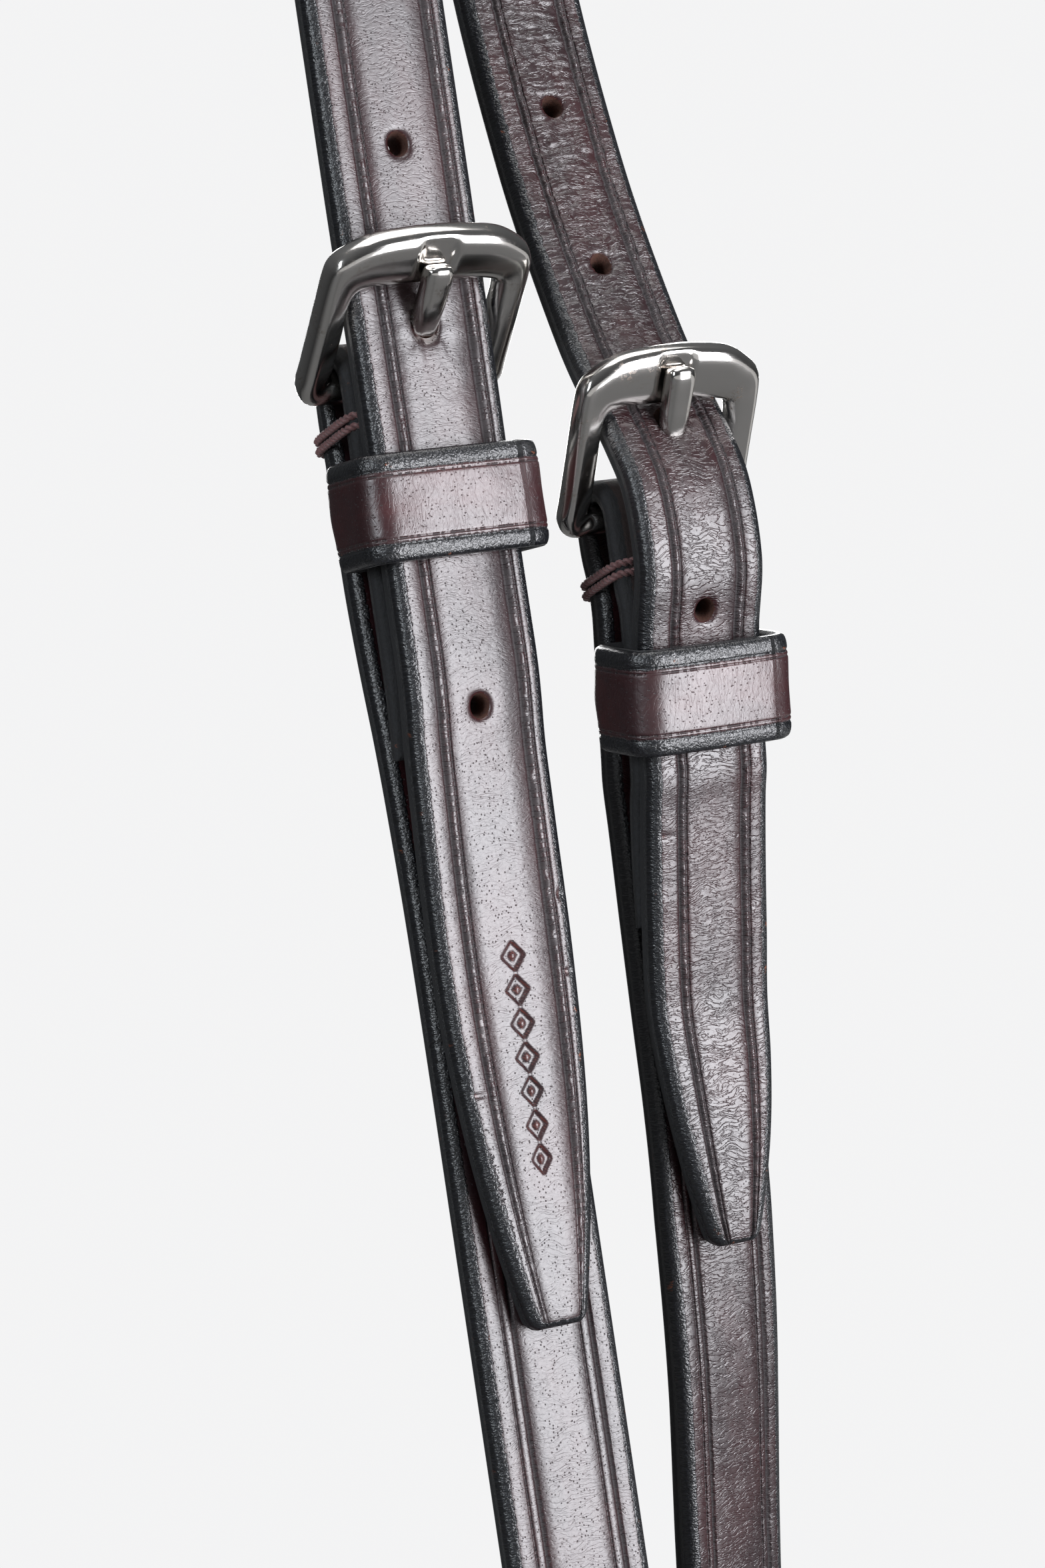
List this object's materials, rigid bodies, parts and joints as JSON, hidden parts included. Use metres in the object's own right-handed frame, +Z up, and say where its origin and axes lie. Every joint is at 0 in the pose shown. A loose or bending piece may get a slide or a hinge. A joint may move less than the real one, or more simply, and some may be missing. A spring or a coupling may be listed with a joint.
{
  "type": "leather reins",
  "caption": "Buckled leather bridoon rein and narrower curb rein, each with steel buckle and fixed keeper, its spare length wound in tied coils.",
  "frame": {"origin": "centre of the eye of the bridoon rein's upper coil, from which the reins hang", "axes": "+X across the straps from the bridoon rein to the curb rein, -Y the way the grain side and buckles face, +Z up along the hanging straps"},
  "size_m": [0.0476, 0.1125, 0.3724],
  "materials": {
    "bridle_leather": "waxed, burnished, glossy",
    "thong_leather": "waxed",
    "polished_steel": "polished",
    "stud_steel": "satin",
    "waxed_thread": "waxed linen"
  },
  "bodies": {
    "straps": {"bridoon_billet": "bridle_leather", "bridoon_buckle_strap": "bridle_leather", "bridoon_upper_coil": "bridle_leather", "bridoon_lower_coil": "bridle_leather", "bridoon_keeper": "bridle_leather", "bridoon_edge_tacks": "waxed_thread", "bridoon_stitching": "waxed_thread", "bridoon_upper_tie": "thong_leather", "bridoon_lower_tie": "thong_leather", "bridoon_hook_studs": "stud_steel", "curb_billet": "bridle_leather", "curb_buckle_strap": "bridle_leather", "curb_upper_coil": "bridle_leather", "curb_lower_coil": "bridle_leather", "curb_keeper": "bridle_leather", "curb_edge_tacks": "waxed_thread", "curb_stitching": "waxed_thread", "curb_upper_tie": "thong_leather", "curb_lower_tie": "thong_leather", "curb_hook_studs": "stud_steel"},
    "bridoon_frame": {"bridoon_frame": "polished_steel"},
    "bridoon_tongue": {"bridoon_tongue": "polished_steel"},
    "curb_frame": {"curb_frame": "polished_steel"},
    "curb_tongue": {"curb_tongue": "polished_steel"}
  },
  "joints": [
    {"name": "bridoon_frame_rock", "type": "hinge", "parent": "straps", "child": "bridoon_frame", "pos_m": [0, -0.03397, -0.0963], "axis": [1, 0, 0], "range_deg": [0, 4]},
    {"name": "bridoon_tongue_lift", "type": "hinge", "parent": "bridoon_frame", "child": "bridoon_tongue", "pos_m": [0, -0.03397, -0.0963], "axis": [1, 0, 0], "range_deg": [0, 4]},
    {"name": "curb_frame_rock", "type": "hinge", "parent": "straps", "child": "curb_frame", "pos_m": [0.0252, -0.03732, -0.1132], "axis": [1, 0, 0], "range_deg": [0, 4]},
    {"name": "curb_tongue_lift", "type": "hinge", "parent": "curb_frame", "child": "curb_tongue", "pos_m": [0.0252, -0.03732, -0.1132], "axis": [1, 0, 0], "range_deg": [0, 4]}
  ]
}
